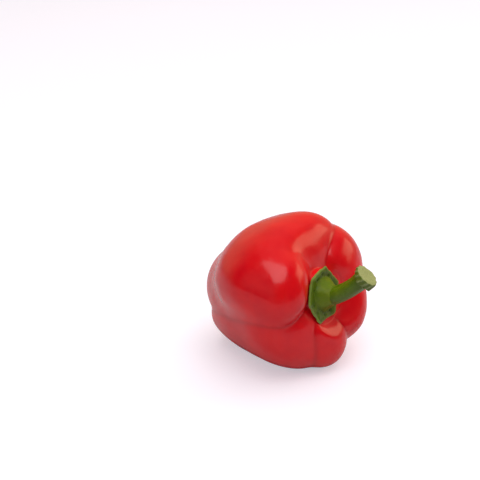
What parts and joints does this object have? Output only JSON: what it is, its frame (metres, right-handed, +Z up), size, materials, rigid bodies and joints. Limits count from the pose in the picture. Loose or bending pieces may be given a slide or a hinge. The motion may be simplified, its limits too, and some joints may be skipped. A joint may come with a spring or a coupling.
{
  "type": "bell pepper",
  "caption": "Lobed sweet pepper lying on its side, with a green toothed calyx and a curved, ribbed stem with a flared cut end.",
  "frame": {"origin": "centre of the bounding box on the surface that the pepper lies on", "axes": "+Z up from that surface, +X level toward the stem end, +Y to the left when facing along +X"},
  "size_m": [0.1102, 0.0914, 0.0849],
  "materials": {
    "skin": "smooth waxy red pepper skin, glossy, with faint mottling and a lighter orange red on the shoulders",
    "calyx": "green calyx flesh, satin, with small bumps and a paler thin rim",
    "stem": "green ribbed stalk, satin, paler and fibrous at the cut end"
  },
  "bodies": {
    "root": {"fruit": "skin", "calyx": "calyx", "stem": "stem"}
  },
  "joints": []
}
